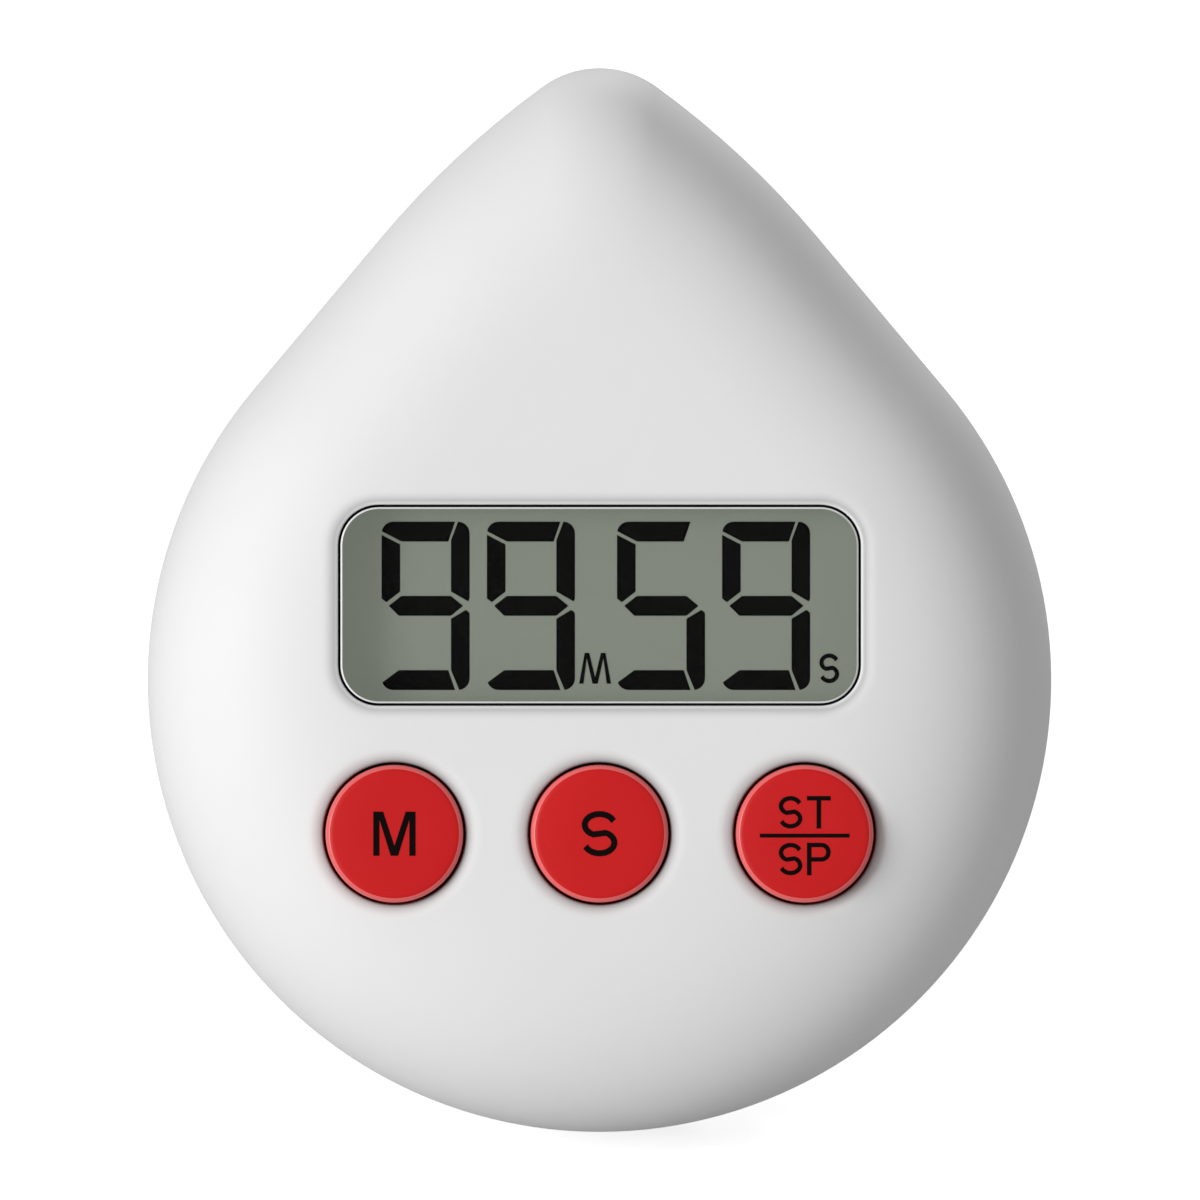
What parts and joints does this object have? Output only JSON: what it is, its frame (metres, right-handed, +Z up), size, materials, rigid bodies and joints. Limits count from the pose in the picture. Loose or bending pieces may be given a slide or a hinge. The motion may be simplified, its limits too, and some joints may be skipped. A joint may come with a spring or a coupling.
{
  "type": "kitchen timer",
  "caption": "Water-drop-shaped digital kitchen timer with a display window, round push buttons, magnetic back and fold-out stand.",
  "frame": {"origin": "centre of the bounding box in plan, on the surface the timer stands on", "axes": "+Z up, the face looks towards -Y and leans back 25 degrees, +X to the right as seen from the front"},
  "size_m": [0.07, 0.051, 0.0791],
  "materials": {
    "white_plastic": "satin moulded ABS",
    "clear_lens": "clear polished acrylic",
    "black_tape": "matt foam tape",
    "polariser_film": "satin film",
    "lcd_glass": "polished",
    "lcd_black": "dark liquid-crystal segments",
    "lcd_reflector": "grey-green diffuse reflector",
    "dark_plastic": "fine matt moulding",
    "zebra_rubber": "satin silicone",
    "board_green": "solder mask over glass fibre",
    "gold_pads": "gold-flashed",
    "black_epoxy": "glossy blob",
    "steel": "zinc-plated",
    "capacitor_ceramic": "matt",
    "resistor_ceramic": "matt",
    "silicone": "satin translucent silicone",
    "red_plastic": "satin moulded ABS",
    "carbon_rubber": "matt conductive rubber",
    "brass": "rolled sheet",
    "piezo_ceramic": "silvered ceramic",
    "wire_plastic": "PVC insulation, one lead red and one black",
    "cell_can": "bright can end",
    "cell_sleeve": "plain printed sleeve",
    "nickel_spring": "nickel-plated",
    "magnet_nickel": "nickel-plated"
  },
  "bodies": {
    "housing": {"front_housing": "white_plastic", "back_housing": "white_plastic", "display_window": "clear_lens", "window_tape": "black_tape", "lcd_front_polariser": "polariser_film", "lcd_front_glass": "lcd_glass", "lcd_segments": "lcd_black", "lcd_rear_glass": "lcd_glass", "lcd_rear_polariser": "lcd_reflector", "lcd_holder": "dark_plastic", "zebra_strip": "zebra_rubber", "circuit_board": "board_green", "contact_pads": "gold_pads", "chip_blob": "black_epoxy", "crystal": "steel", "capacitors": "capacitor_ceramic", "resistors": "resistor_ceramic", "board_screws": "steel", "keypad_membrane": "silicone", "buzzer_disc": "brass", "buzzer_ceramic": "piezo_ceramic", "buzzer_wires": "wire_plastic", "battery_cell": "cell_can", "battery_sleeve": "cell_sleeve", "contact_spring": "nickel_spring", "contact_plate": "nickel_spring", "battery_wires": "wire_plastic", "magnet_left": "magnet_nickel", "magnet_right": "magnet_nickel", "back_screws": "steel"},
    "minutes_key": {"button_minutes": "red_plastic", "carbon_pill_minutes": "carbon_rubber"},
    "seconds_key": {"button_seconds": "red_plastic", "carbon_pill_seconds": "carbon_rubber"},
    "start_key": {"button_start": "red_plastic", "carbon_pill_start": "carbon_rubber"},
    "door": {"battery_door": "white_plastic"},
    "leg": {"stand": "white_plastic"}
  },
  "joints": [
    {"name": "press_minutes", "type": "slide", "parent": "housing", "child": "minutes_key", "axis": [0, 0.9063, -0.4226], "range_m": [0, 0.0008], "stiffness_N_per_m": 1200, "deforming": ["keypad_membrane"]},
    {"name": "press_seconds", "type": "slide", "parent": "housing", "child": "seconds_key", "axis": [0, 0.9063, -0.4226], "range_m": [0, 0.0008], "stiffness_N_per_m": 1200, "deforming": ["keypad_membrane"]},
    {"name": "press_start", "type": "slide", "parent": "housing", "child": "start_key", "axis": [0, 0.9063, -0.4226], "range_m": [0, 0.0008], "stiffness_N_per_m": 1200, "deforming": ["keypad_membrane"]},
    {"name": "open_door", "type": "hinge", "parent": "housing", "child": "door", "pos_m": [0, 0.01157, 0.04439], "axis": [1, 0, 0], "range_deg": [0, 80]},
    {"name": "fold_stand", "type": "hinge", "parent": "housing", "child": "leg", "pos_m": [0, 0.00412, 0.02889], "axis": [1, 0, 0], "range_deg": [-40, 0]}
  ]
}
